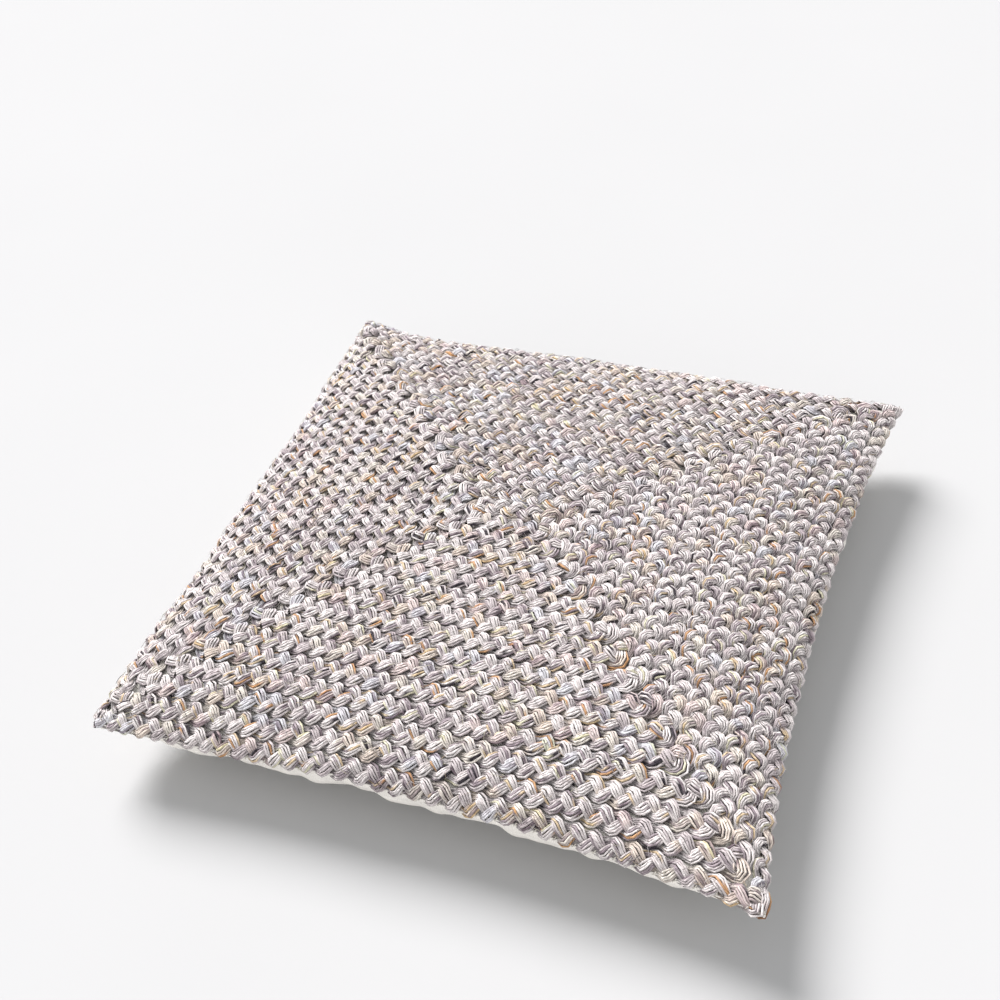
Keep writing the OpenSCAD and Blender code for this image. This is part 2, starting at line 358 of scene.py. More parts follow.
def nylon_material():
    n = Nodes("zip_nylon")
    place = n.add("ShaderNodeTexCoord").outputs["Object"]
    cloud = n.noise(place, 500.0, 2.0)
    colour = n.mix(n.remap(cloud, 0.3, 0.7, 0.0, 1.0), (0.60, 0.55, 0.46, 1),
                   (0.68, 0.63, 0.54, 1))
    n.bump(cloud, 0.00004, 0.3)
    return n.surface(colour=colour, roughness=0.38, specular=0.5, subsurface=0.05)


def satin_material():
    """Woven satin ribbon: long floats across, a fine twill line, and a soft gloss."""
    n = Nodes("label_satin")
    uv = n.add("ShaderNodeUVMap", uv_map="ClothUV").outputs["UV"]
    parts = n.add("ShaderNodeSeparateXYZ", {0: uv})
    twill = n.math("ADD", n.math("MULTIPLY", parts.outputs[0], 9.0),
                   n.math("MULTIPLY", parts.outputs[1], 5.0))
    ribs = n.math("SINE", twill)
    drawn_out = n.add("ShaderNodeMapping", {"Vector": uv, "Scale": (0.4, 8.0, 1)}).outputs[0]
    floats = n.noise(drawn_out, 1.5, 3.0)
    colour = n.mix(1.0, (0.74, 0.73, 0.70, 1), n.grey(n.remap(floats, 0.3, 0.7, 0.92, 1.0)),
                   "MULTIPLY")
    n.bump(n.math("ADD", ribs, floats), 0.00004, 0.6)
    return n.surface(colour=colour, roughness=n.remap(floats, 0.3, 0.7, 0.32, 0.5),
                     specular=0.5, anisotropy=0.5, sheen=0.1)


def fibre_material():
    n = Nodes("fibre_fill")
    place = n.add("ShaderNodeTexCoord").outputs["Object"]
    curls = n.noise(place, 160.0, 6.0, 0.7)
    tufts = n.noise(place, 35.0, 3.0)
    colour = n.mix(n.remap(tufts, 0.3, 0.7, 0, 1), (0.86, 0.86, 0.84, 1), (0.93, 0.93, 0.92, 1))
    n.bump(n.math("ADD", curls, tufts), 0.002, 0.8)
    return n.surface(colour=colour, roughness=0.95, sheen=0.4, subsurface=0.1)


# ---- the curved body ----

def by_corner(u, v, values):
    front_left, back_left, back_right, front_right = values
    return np.where(u > 0, np.where(v > 0, back_right, front_right),
                    np.where(v > 0, back_left, front_left))


def seam_waves(u, v):
    """Gentle waves of the edge seam, at most along the middle of each plain side."""
    calm = np.where(v > 0.9, 0.35, 1.0) * (1 - np.abs(u * v)) ** 0.5
    return calm * (1.5 * np.sin(11.0 * u + 3.0 * v + 0.6) + 0.9 * np.sin(23.0 * u - 17.0 * v + 2.1)
                   + 1.3 * np.sin(9.0 * v - 4.0 * u + 4.0))


def plan(u, v, depth):
    """Plan position, in millimetres, of a layer set in by depth from the outside."""
    corner = np.abs(u * v) ** 6
    tuck = by_corner(u, v, CORNER_TUCK) * corner
    bend = np.clip((np.abs(u) - ZIP_STRAIGHT) / (1 - ZIP_STRAIGHT), 0, 1) ** 1.6
    pull_y = np.where(v > 0, ZIP_PULL * (1 - bend), FRONT_PULL * (1 - u * u))
    pull_x = np.where(u > 0, SIDE_PULL, LEFT_PULL) * (1 - v * v)
    x = u * (HALF - depth - pull_x) - np.sign(u) * tuck
    y = v * (HALF - depth - pull_y) - np.sign(v) * tuck
    return x, y


def rim_height(u, v):
    lift = by_corner(u, v, CORNER_LIFT) * np.abs(u * v) ** 6
    edge = np.maximum(np.abs(u), np.abs(v)) ** 8
    return SEAM_HEIGHT + lift + seam_waves(u, v) * edge


def upper_start(u, v):
    """The braid's middle layer before the cloth is simulated."""
    edge = np.maximum(np.abs(u), np.abs(v))
    depth = SEAM_DEPTH + (BRAID_DEPTH - SEAM_DEPTH) * (1 - edge ** 12)
    x, y = plan(u, v, depth)
    left, right, front, back = CROWN_POWER
    crown = (np.maximum(0, 1 - u * u) ** np.where(u > 0, right, left)
             * np.maximum(0, 1 - v * v) ** np.where(v > 0, back, front))
    lean_out = BACK_BULGE * (1 + 0.8 * u) * (1 - u ** 8)
    y = y + lean_out * smooth((v - 0.35) / 0.55) * (1 - np.abs(v) ** 60)
    swell = 1.1 * np.sin(9 * u + 2 * v + 1.0) * np.sin(7 * v - 3 * u + 0.4)
    z = rim_height(u, v) + (CROWN_RISE - BRAID_DEPTH + swell * (1 - edge ** 6)) * crown
    return np.stack([x, y, z], axis=-1)


def lower_start(u, v):
    x, y = plan(u, v, SEAM_DEPTH * np.maximum(np.abs(u), np.abs(v)) ** 12)
    edge = np.maximum(np.abs(u), np.abs(v))
    t = np.clip((edge - FLAT_SHARE) / (1 - FLAT_SHARE), 0, 1)
    z = rim_height(u, v) * (1 - np.sqrt(1 - t * t))
    swell = SIDE_BULGE * np.sin(math.pi * np.clip((1 - edge) / 0.14, 0, 1)) ** 0.8
    near_zip = (v > 0.8) & (np.abs(u) < np.abs(v))
    swell = np.where(near_zip, 0, swell) * (1 - np.abs(u * v) ** 3)
    x = x + swell * np.where(np.abs(u) > np.abs(v), np.sign(u), 0)
    y = y + swell * np.where(np.abs(u) > np.abs(v), 0, np.sign(v))
    return np.stack([x, y, z], axis=-1)


class Patch:
    """A smooth square surface over u and v from -1 to 1, held as a grid of points that lie
    closer together towards the edges."""

    def __init__(self, points, faces_down=False):
        self.points = points
        self.steps = len(points) - 1
        du = np.gradient(points, axis=0)
        dv = np.gradient(points, axis=1)
        self.normals = unit(np.cross(du, dv)) * (-1 if faces_down else 1)

    def index(self, t):
        inside = np.clip(t, -1, 1)
        return (np.arcsin(inside) / (math.pi / 2) + 1) / 2 * self.steps

    def blend(self, grid, u, v):
        """Catmull-Rom interpolation of grid."""
        fu, fv = self.index(u), self.index(v)
        iu = np.clip(np.floor(fu).astype(int), 0, self.steps - 1)
        iv = np.clip(np.floor(fv).astype(int), 0, self.steps - 1)
        total = 0.0
        for a, wa in enumerate(catmull(fu - iu)):
            row = np.clip(iu + a - 1, 0, self.steps)
            for b, wb in enumerate(catmull(fv - iv)):
                column = np.clip(iv + b - 1, 0, self.steps)
                total = total + (wa * wb)[..., None] * grid[row, column]
        return total

    def at(self, u, v):
        return self.blend(self.points, u, v), unit(self.blend(self.normals, u, v))


def catmull(t):
    return (-0.5 * t + t * t - 0.5 * t ** 3, 1 - 2.5 * t * t + 1.5 * t ** 3,
            0.5 * t + 2 * t * t - 1.5 * t ** 3, -0.5 * t * t + 0.5 * t ** 3)


def grid_uv(steps):
    t = np.sin(np.linspace(-math.pi / 2, math.pi / 2, steps + 1))
    return np.meshgrid(t, t, indexing="ij")


def grid_faces(steps, flip=False):
    i, j = np.meshgrid(np.arange(steps), np.arange(steps), indexing="ij")
    a = (i * (steps + 1) + j).ravel()
    quads = np.stack([a, a + steps + 1, a + steps + 2, a + 1], axis=1)
    return quads[:, ::-1] if flip else quads


CLOTH_STEPS = 88
CLOTH_FRAMES = 20
UPPER_CAP = 6.0                    # most that a point of the braided side may move
LOWER_CAP = 9.0


def cloth_start():
    """One closed mesh: the upper grid, and the lower grid joined to its rim. Also returns the
    mesh's point number for each point of the lower grid."""
    u, v = grid_uv(CLOTH_STEPS)
    side = CLOTH_STEPS + 1
    upper, lower = upper_start(u, v).reshape(-1, 3), lower_start(u, v).reshape(-1, 3)
    rim = (np.maximum(np.abs(u), np.abs(v)) > 1 - 1e-9).ravel()
    number = np.where(rim, np.arange(side * side), 0)
    number[~rim] = side * side + np.arange((~rim).sum())
    points = np.concatenate([upper, lower[~rim]])
    faces = np.concatenate([grid_faces(CLOTH_STEPS), number[grid_faces(CLOTH_STEPS, True)]])
    return points, faces, number


def pin_weights(points):
    """1 where the cloth is held: along the edge seam, and round the zip."""
    side = CLOTH_STEPS + 1
    u, v = grid_uv(CLOTH_STEPS)
    rim = (np.maximum(np.abs(u), np.abs(v)) > 1 - 1e-9).ravel()
    weights = np.zeros(len(points))
    weights[: side * side][rim] = 1.0
    x, y, z = points.T
    near_zip = (np.abs(x) < 170) & (y > 205) & (z < SEAM_HEIGHT + 2) & (z > 12)
    near_zip[: side * side] = False
    weights[near_zip] = 1.0
    return weights


def inflate(obj, weights, loose):
    """Blender's cloth with air pressure inside and no gravity; returns the settled points."""
    held = obj.vertex_groups.new(name="held")
    for i in np.flatnonzero(weights > 0):
        held.add([int(i)], float(weights[i]), "REPLACE")
    spare = obj.vertex_groups.new(name="spare")
    for i in np.flatnonzero(loose > 0):
        spare.add([int(i)], float(loose[i]), "REPLACE")
    modifier = obj.modifiers.new("cloth", "CLOTH")
    cloth = modifier.settings
    cloth.quality = 6
    cloth.mass = 0.25
    cloth.tension_stiffness = cloth.compression_stiffness = 18
    cloth.shear_stiffness = 8
    cloth.bending_stiffness = 0.6
    cloth.use_pressure = True
    cloth.uniform_pressure_force = 4.0
    cloth.effector_weights.gravity = 0.0
    cloth.vertex_group_mass = "held"
    cloth.vertex_group_shrink = "spare"
    cloth.shrink_min = 0.0
    cloth.shrink_max = -0.07
    modifier.collision_settings.use_collision = False
    modifier.point_cache.frame_start = 1
    modifier.point_cache.frame_end = CLOTH_FRAMES
    scene = bpy.context.scene
    for step in range(1, CLOTH_FRAMES + 1):
        scene.frame_set(step)
    settled = obj.evaluated_get(bpy.context.evaluated_depsgraph_get()).to_mesh()
    out = np.zeros(len(settled.vertices) * 3)
    settled.vertices.foreach_get("co", out)
    scene.frame_set(1)
    return out.reshape(-1, 3) / MM


def capped(move, cap):
    size = np.linalg.norm(move, axis=1, keepdims=True)
    return move * cap / (cap + size)


def simulate_body():
    """Upper and lower patches of the stuffed cover."""
    points, faces, number = cloth_start()
    side = CLOTH_STEPS + 1
    loose = np.zeros(len(points))
    z = points[:, 2]
    loose[side * side:] = smooth((z[side * side:] - 4) / 20)
    obj = mesh_object("cloth_form", points, faces)
    settled = inflate(obj, pin_weights(points), loose)
    bpy.data.objects.remove(obj)
    move = settled - points
    upper_move = capped(move[: side * side], UPPER_CAP)
    lower_move = capped(move[side * side:], LOWER_CAP)
    points = points + np.concatenate([upper_move, lower_move])
    upper = points[: side * side].reshape(side, side, 3)
    lower = points[number].reshape(side, side, 3)
    lower[..., 2] = np.maximum(lower[..., 2], 0.0)
    return Patch(upper), Patch(lower, faces_down=True)


# ---- braid ----

def even_table(patch, axis, sign):
    """Distance from the middle, 0 to 1, against u or v, so that every round is equally wide."""
    t = np.sin(np.linspace(0, math.pi / 2, 400))
    zero = np.zeros_like(t)
    where = (sign * t, zero) if axis == 0 else (zero, sign * t)
    line = patch.at(*where)[0]
    run = np.concatenate([[0], np.cumsum(np.linalg.norm(np.diff(line, axis=0), axis=1))])
    return run / run[-1], t


class Cover:
    """Takes flat positions on the braid, in millimetres from its middle, to the patch."""

    def __init__(self, patch):
        self.patch = patch
        self.tables = {(axis, sign): even_table(patch, axis, sign)
                       for axis in (0, 1) for sign in (-1, 1)}

    def share(self, value, axis):
        t = np.abs(value) / HALF
        out = np.where(value >= 0, np.interp(t, *self.tables[axis, 1]),
                       -np.interp(t, *self.tables[axis, -1]))
        return out

    def at(self, x, y):
        x = x + OFF_MIDDLE[0] * np.maximum(0, 1 - (x / HALF) ** 2)
        y = y + OFF_MIDDLE[1] * np.maximum(0, 1 - (y / HALF) ** 2)
        inside_x, inside_y = np.clip(x, -HALF, HALF), np.clip(y, -HALF, HALF)
        point, normal = self.patch.at(self.share(inside_x, 0), self.share(inside_y, 1))
        over = np.maximum(np.abs(x) - HALF, 0) + np.maximum(np.abs(y) - HALF, 0)
        point = point.copy()
        point[..., 2] -= over
        return point, normal


def round_path(k, count):
    """Flat centre line of round k with its corners turned, and the way across it: a point q
    widths outwards is at line + across * q."""
    a, b = SLIT + (k - 0.5) * COLUMN, (k - 0.5) * ROW
    r = min(9.0, b * 0.55)
    quarter = math.pi / 2 * r
    sides = [2 * (a - r), quarter, 2 * (b - r), quarter] * 2
    length = sum(sides)
    l = np.linspace(0, length, count + 1)
    ends = np.cumsum([0] + sides)
    x, y = np.zeros_like(l), np.zeros_like(l)
    # Straight runs: start and direction. Turns, which are the odd ones: centre and first angle.
    starts = [(-(a - r), -b, 1, 0), (a - r, -(b - r), -90, 0),
              (a, -(b - r), 0, 1), (a - r, b - r, 0, 0),
              (a - r, b, -1, 0), (-(a - r), b - r, 90, 0),
              (-a, b - r, 0, -1), (-(a - r), -(b - r), 180, 0)]
    for i, (sx, sy, first, second) in enumerate(starts):
        inside = (l >= ends[i]) & (l <= ends[i + 1])
        f = l[inside] - ends[i]
        if i % 2 == 0:
            x[inside], y[inside] = sx + first * f, sy + second * f
        else:
            angle = math.radians(first) + f / r
            x[inside], y[inside] = sx + r * np.cos(angle), sy + r * np.sin(angle)
    blend_x, blend_y = min(15.0, a), min(15.0, b)
    out_x = np.sign(x) * smooth((np.abs(x) - (a - blend_x)) / blend_x)
    out_y = np.sign(y) * smooth((np.abs(y) - (b - blend_y)) / blend_y)
    return l, length, np.stack([x, y], 1), np.stack([out_x * COLUMN, out_y * ROW], 1)


# Colours of the yarn, linear, each with how often it turns up.
YARN_COLOURS = (
    ((0.86, 0.80, 0.785), 44), ((0.76, 0.69, 0.68), 22), ((0.62, 0.55, 0.555), 13),
    ((0.40, 0.335, 0.36), 9), ((0.25, 0.195, 0.22), 4), ((0.72, 0.56, 0.37), 2.6),
    ((0.62, 0.36, 0.19), 1.8), ((0.78, 0.74, 0.55), 2.0), ((0.045, 0.035, 0.045), 3.2),
)
# Wool of a strand as a whole: it multiplies the colour of all its yarns.
STRAND_COLOURS = (
    ((1.0, 1.0, 1.0), 66), ((0.98, 0.92, 0.82), 8), ((0.98, 0.97, 0.89), 7),
    ((0.91, 0.96, 1.02), 7), ((1.0, 0.92, 0.90), 6), ((0.80, 0.77, 0.79), 9),
)


def stretches(rng, l, palette, short, long):
    """Colours in stretches of random length, one after another, along l."""
    colours = np.array([c for c, _ in palette])
    chances = np.array([w for _, w in palette], float)
    ends, picks = [0.0], []
    while ends[-1] < l[-1]:
        picks.append(rng.choice(len(colours), p=chances / chances.sum()))
        dark = colours[picks[-1]].max() < 0.3
        ends.append(ends[-1] + rng.uniform(short, long) * (0.5 if dark else 1.0))
    number = np.searchsorted(ends, l, side="right") - 1
    return colours[np.array(picks)[np.clip(number, 0, len(picks) - 1)]]


def tube_grid(centre, side_way, up_way, r_side, r_up, sides):
    """Points round a tube: an array of len(centre) x sides x 3."""
    angle = 2 * math.pi * (np.arange(sides) + 0.5) / sides
    return (centre[:, None] + (r_side * np.cos(angle))[..., None] * side_way[:, None]
            + (r_up * np.sin(angle))[..., None] * up_way[:, None])


class Tubes:
    """Collects tubes of the same number of sides into one mesh with both UV maps."""

    def __init__(self, sides):
        self.sides = sides
        self.points, self.faces, self.tints, self.yarn_uv, self.pixels = [], [], [], [], []
        self.count = 0
        self.segments = 0

    def add(self, grid, along, tint=None, turn=0.0):
        n, sides = len(grid) - 1, self.sides
        first = self.count
        i, s = np.meshgrid(np.arange(n), np.arange(sides), indexing="ij")
        a = first + i * sides + s
        b = first + i * sides + (s + 1) % sides
        self.faces.append(np.stack([a, b, b + sides, a + sides], -1).reshape(-1, 4))
        self.points.append(grid.reshape(-1, 3))
        if tint is not None:
            self.tints.append(tint.reshape(-1, 3))
        u0, u1 = along[:-1][i], along[1:][i]
        v0, v1 = s / sides + turn, (s + 1) / sides + turn
        self.yarn_uv.append(np.stack([u0, v0, u0, v1, u1, v1, u1, v0], -1).reshape(-1, 4, 2))
        self.pixels.append(np.stack([self.segments + i, s], -1).reshape(-1, 2))
        self.count += (n + 1) * sides
        self.segments += n

    def bake_uv(self, segment_length, girth):
        """Strips of tube laid side by side in rows that fill the unit square."""
        cells = np.concatenate(self.pixels)
        per_row = max(4, round(math.sqrt(self.segments * girth / segment_length)))
        rows = math.ceil(self.segments / per_row)
        column, row = cells[:, 0] % per_row, cells[:, 0] // per_row
        margin = 0.12
        u0, u1 = column / per_row, (column + 1) / per_row
        low = (row + margin / 2) / rows
        high = (1 - margin) / rows / self.sides
        v0, v1 = low + cells[:, 1] * high, low + (cells[:, 1] + 1) * high
        return np.stack([u0, v0, u0, v1, u1, v1, u1, v0], -1).reshape(-1, 4, 2)

    def build(self, name, segment_length, girth):
        obj = mesh_object(name, np.concatenate(self.points), np.concatenate(self.faces))
        add_uv(obj, "OFBake", self.bake_uv(segment_length, girth))
        add_uv(obj, "YarnUV", np.concatenate(self.yarn_uv))
        if self.tints:
            add_tint(obj, np.concatenate(self.tints))
        return obj


def make_round(k, cover, material):
    """One round of three-strand braid, with each strand's yarns side by side."""
    rng = np.random.default_rng(500 + k)
    stitches = max(6, round(round_path(k, 8)[1] / STITCH))
    count = round(round_path(k, 8)[1] / YARN_STEP)
    l, length, line, across = round_path(k, count)
    period = 3 * length / stitches
    tubes = Tubes(YARN_SIDES)
    closing = smooth(np.minimum(l, length - l) / 25)
    drift = closing * wander(rng, l, 60) * 0.3
    reach = 1 + OVERHANG / HALF * (k / ROUNDS) ** 4
    edges = [cover.at(*((line + across * q) * reach).T)[0] for q in (-0.3, 0.3)]
    width = np.linalg.norm(edges[1] - edges[0], axis=1) / (0.6 * COLUMN)
    # Painted shade: the underside and flanks of each yarn are darkened, where the neighbouring
    # yarns shade it.
    groove_shade = 0.56 + 0.44 * smooth((np.sin(2 * math.pi * (np.arange(YARN_SIDES) + 0.5)
                                          / YARN_SIDES) + 0.5) / 1.2)
    for strand in range(3):
        phase = 2 * math.pi * (l / period + strand / 3) + closing * wander(rng, l, 45) * 0.16
        phase = phase + LEAN * np.cos(2 * phase)
        swing = SWING * np.sin(phase) * (1 + 0.06 * closing * wander(rng, l, 30)) + drift
        top = -np.sin(2 * phase)
        flat = (line + across * (swing / COLUMN)[:, None]) * reach
        base, normal = cover.at(flat[:, 0], flat[:, 1])
        plump = 1 + 0.12 * closing * wander(rng, l, 25)
        centre = base + normal * (RISE * top * plump)[:, None]
        ahead = unit(np.gradient(centre, axis=0))
        side_way = unit(np.cross(normal, ahead))
        up_way = np.cross(ahead, side_way)
        raised = 0.5 + 0.5 * top
        spread = (0.66 + 0.46 * raised) * width ** 0.8
        wool = stretches(rng, l, STRAND_COLOURS, 9, 34)
        # Painted shade: a strand is darker where it dips under the other strands and full bright
        # where it rides over them.
        low = 0.50 + 0.50 * smooth((top + 1.0) / 1.2)
        for offset in YARNS:
            slip = 0.42 * wander(rng, l, 14)
            crown = (1.45 * (1 - (offset / 3.1) ** 2) * (0.35 + 0.65 * raised)
                     + 0.36 * wander(rng, l, 11))
            path = (centre + side_way * (offset * spread + slip)[:, None]
                    + up_way * crown[:, None])
            size = YARN_R * (1 + 0.19 * wander(rng, l, 9))[:, None]
            grid = tube_grid(path, side_way, up_way, size, size * 0.95, YARN_SIDES)
            yarn_tint = stretches(rng, l, YARN_COLOURS, 5, 18) * wool
            # The yarn's tint takes on the painted shade of low here.
            yarn_tint = yarn_tint * (low * (1 + 0.06 * wander(rng, l, 20)))[:, None]
            tint = yarn_tint[:, None] * groove_shade[None, :, None]
            tubes.add(grid, l, tint, turn=rng.uniform(0, 1))
    name = f"braid_round_{k:02d}"
    obj = tubes.build(name + "_yarns", YARN_STEP * 1.15, 2 * math.pi * YARN_R)
    return finish_piece(obj, material, stands_for=[name])


def make_fuzz(cover, material):
    """Short stray fibres that lie across the braid or stand a little off it."""
    rng = np.random.default_rng(77)
    tubes = Tubes(3)
    steps = np.linspace(0, 1, 6)
    for k in range(1, ROUNDS + 1):
        l, length, line, across = round_path(k, 600)
        for _ in range(int(length / FUZZ_STEP)):
            start, reach = rng.uniform(0, length), rng.uniform(5, 13)
            run = start + reach * steps * rng.uniform(0.2, 1.0) * rng.choice((-1, 1))
            middle = np.stack([np.interp(run % length, l, line[:, i]) for i in (0, 1)], 1)
            out = np.stack([np.interp(run % length, l, across[:, i]) for i in (0, 1)], 1)
            side = rng.uniform(-0.42, 0.42) + steps * rng.uniform(-0.4, 0.4)
            side = side + 0.04 * np.sin(steps * rng.uniform(2, 7) + rng.uniform(0, 6))
            flat = middle + out * side[:, None]
            base, normal = cover.at(flat[:, 0], flat[:, 1])
            lift = rng.uniform(2.2, 3.4) + rng.uniform(0.0, 0.9) * np.sin(math.pi * steps)
            lift = lift - 1.6 * np.maximum(np.abs(side) - 0.28, 0) / 0.2
            path = base + normal * lift[:, None]
            ahead = unit(np.gradient(path, axis=0))
            side_way = unit(np.cross(normal, ahead))
            thick = rng.uniform(0.10, 0.24)
            size = np.full((len(steps), 1), thick)
            size[0] = size[-1] = thick * 0.3
            grid = tube_grid(path, side_way, np.cross(ahead, side_way), size, size, 3)
            colour = np.array(YARN_COLOURS[rng.choice((0, 0, 1, 1, 2, 3, 5, 7, 8))][0])
            tint = np.broadcast_to(colour, (len(steps), 3, 3))
            tubes.add(grid, run, tint)
    obj = tubes.build("braid_fuzz", 2.0, 0.7)
    return finish_piece(obj, material)


# ---- sewing threads ----

def thread_run(tubes, path, normal, radius):
    """Adds one tube along path, with the given outward direction."""
    ahead = unit(np.gradient(path, axis=0))
    side_way = unit(np.cross(normal, ahead))
    size = np.full((len(path), 1), radius)
    run = np.concatenate([[0], np.cumsum(np.linalg.norm(np.diff(path, axis=0), axis=1))])
    tubes.add(tube_grid(path, side_way, np.cross(ahead, side_way), size, size, tubes.sides), run)


def make_joining_thread(cover, material):
    """Lacing that zigzags under the edges of each two rounds that lie together."""
    tubes = Tubes(4)
    for k in range(1, ROUNDS):
        _, length, _, _ = round_path(k, 8)
        count = round(length / 6.5) * 2
        _, _, line, across = round_path(k, count)
        side = 0.5 + 0.10 * np.where(np.arange(count + 1) % 2, 1, -1)
        side[-1] = side[0]
        flat = line + across * side[:, None]
        base, normal = cover.at(flat[:, 0], flat[:, 1])
        thread_run(tubes, base - normal * 2.2, normal, 0.35)
    obj = tubes.build("joining_thread_lacing", 6.6, 2.2)
    return finish_piece(obj, material, stands_for=["joining_thread"])


def rim_line(patch, count):
    """Points round the four sides of a patch."""
    t = np.linspace(-1, 1, count // 4 + 1)[:-1]
    one = np.ones_like(t)
    u = np.concatenate([t, one, -t, -one])
    v = np.concatenate([-one, t, one, -t])
    return patch.at(u, v)[0]


def stitches(name, patch, inset, pitch, slant, rise, radius, material, out=0.6, stands_for=()):
    """Whip stitches over a seam: each climbs from the lower cloth to the upper one."""
    tubes = Tubes(5)
    rim = rim_line(patch, 1600)
    rim = np.concatenate([rim, rim[:1]])
    run = np.concatenate([[0], np.cumsum(np.linalg.norm(np.diff(rim, axis=0), axis=1))])
    count = round(run[-1] / pitch)
    steps = np.linspace(0, 1, 7)
    for n in range(count):
        at = (n + 0.5) * run[-1] / count
        where = np.array([np.interp((at + f * slant) % run[-1], run, rim[:, i])
                          for f in (-0.5, 0.5) for i in range(3)]).reshape(2, 3)
        ahead = unit(where[1] - where[0])
        outward = unit(np.cross(ahead, [0, 0, 1]))
        path = (where[0] + (where[1] - where[0]) * steps[:, None]
                + np.array([0, 0, 1]) * (rise * (steps - 0.5))[:, None]
                + outward * (out * np.sin(math.pi * steps) - inset)[:, None])
        thread_run(tubes, path, outward, radius)
    obj = tubes.build(name, 1.2, 2 * math.pi * radius)
    return finish_piece(obj, material, stands_for=stands_for)


# ---- cloth layers ----

class Cloth:
    """Collects grids of cloth into one mesh with a flat ClothUV map in millimetres."""

    def __init__(self):
        self.points, self.faces, self.flat, self.bake = [], [], [], []
        self.count = 0

    def add(self, grid, flat, region, keep=None, flip=False):
        """region is the part of the bake square that the grid fills: (u0, v0, u1, v1)."""
        n, m = grid.shape[:2]
        i, j = np.meshgrid(np.arange(n - 1), np.arange(m - 1), indexing="ij")
        if keep is not None:
            i, j = i[keep], j[keep]
        a = (i * m + j).ravel()
        quads = np.stack([a, a + m, a + m + 1, a + 1], axis=1)
        if flip:
            quads = quads[:, ::-1]
        s, t = np.meshgrid(np.linspace(0, 1, n), np.linspace(0, 1, m), indexing="ij")
        u0, v0, u1, v1 = region
        square = np.stack([u0 + (u1 - u0) * s, v0 + (v1 - v0) * t], -1).reshape(-1, 2)
        self.points.append(grid.reshape(-1, 3))
        self.faces.append(quads + self.count)
        self.flat.append(flat.reshape(-1, 2)[quads])
        self.bake.append(square[quads])
        self.count += n * m

    def wall(self, one, other, region):
        """Joins two lines of points that are already there, given by their numbers."""
        u0, v0, u1, v1 = region
        run = np.linspace(0, 1, len(one))
        quads = np.stack([one[:-1], one[1:], other[1:], other[:-1]], 1)
        near = np.stack([u0 + (u1 - u0) * run, np.full_like(run, v0)], 1)
        far = np.stack([near[:, 0], np.full_like(run, v1)], 1)
        length = run * len(one) * 2.0
        near_flat = np.stack([length, np.zeros_like(length)], 1)
        self.faces.append(quads)
        self.bake.append(np.stack([near[:-1], near[1:], far[1:], far[:-1]], 1))
        self.flat.append(np.stack([near_flat[:-1], near_flat[1:], near_flat[1:] + (0, 1),
                                   near_flat[:-1] + (0, 1)], 1))

    def build(self, name):
        obj = mesh_object(name, np.concatenate(self.points), np.concatenate(self.faces))
        add_uv(obj, "OFBake", np.concatenate(self.bake))
        add_uv(obj, "ClothUV", np.concatenate(self.flat))
        weld(obj)
        return obj


def grid_normals(grid):
    return unit(np.cross(np.gradient(grid, axis=0), np.gradient(grid, axis=1)))


def strip(one, other):
    """A grid one cell wide between two lines of points."""
    return np.stack([one, other], axis=1)


def layer_grid(patch, steps, inset, side, reach=1.0):
    """A layer inside the patch: drawn in by inset all round, and by inset from above (side -1)
    or below (side 1), but level with the patch at its rim."""
    t = np.sin(np.linspace(-math.pi / 2, math.pi / 2, steps + 1)) * reach
    u, v = np.meshgrid(t, t, indexing="ij")
    grid = patch.at(u, v)[0]
    edge = np.maximum(np.abs(u), np.abs(v))
    grid[..., :2] *= 1 - inset / (HALF - SIDE_PULL)
    grid[..., 2] += side * inset * (1 - edge ** 6)
    return grid, np.stack([u * HALF, v * HALF], -1)


def rim_of(grid):
    """The points round a grid, in order, closed."""
    return np.concatenate([grid[:, 0], grid[-1, 1:], grid[-2::-1, -1], grid[0, -2::-1]])


def cloth_layer(name, grid, thick, flat, material, node, upwards=True):
    """A closed sheet of cloth: grid is its outer face, and the inner one lies thick inside."""
    inner = grid - grid_normals(grid) * thick * (1 if upwards else -1)
    cloth = Cloth()
    cloth.add(grid, flat, (0.0, 0.0, 1.0, 0.84), flip=not upwards)
    cloth.add(inner, flat, (0.0, 0.86, 0.86, 1.0), flip=upwards)
    cloth.add(strip(rim_of(grid), rim_of(inner)), strip(rim_of(flat), rim_of(flat) + thick),
              (0.88, 0.86, 1.0, 1.0), flip=upwards)
    obj = cloth.build(name)
    return finish_piece(obj, material, stands_for=[node])


# ---- zip ----

ZIP_ORIGIN = np.array([0.0, 232.2, 36.0])
ZIP_TILT = math.radians(26.0)
ZIP_OUT = np.array([0.0, math.cos(ZIP_TILT), -math.sin(ZIP_TILT)])
ZIP_UP = np.array([0.0, math.sin(ZIP_TILT), math.cos(ZIP_TILT)])
ZIP_LENGTH = 270.0
SLOT_LENGTH = 300.0
SLOT_HEIGHT = 14.2
COIL_GAP = 0.8                     # from the middle of the zip to each row of coils
TAPE_T = 0.7
TAPE_W = 6.0


def on_zip(x, out, up):
    x, out, up = np.broadcast_arrays(x, out, up)
    return (ZIP_ORIGIN + x[..., None] * np.array([1.0, 0, 0]) + out[..., None] * ZIP_OUT
            + up[..., None] * ZIP_UP)


def zip_share(patch, up):
    """The share v at which the middle of the lower patch crosses the zip's height up."""
    v = np.linspace(0.7, 1.0, 2000)
    height = (patch.at(np.zeros_like(v), v)[0] - ZIP_ORIGIN) @ ZIP_UP
    return float(np.interp(up, height, v))


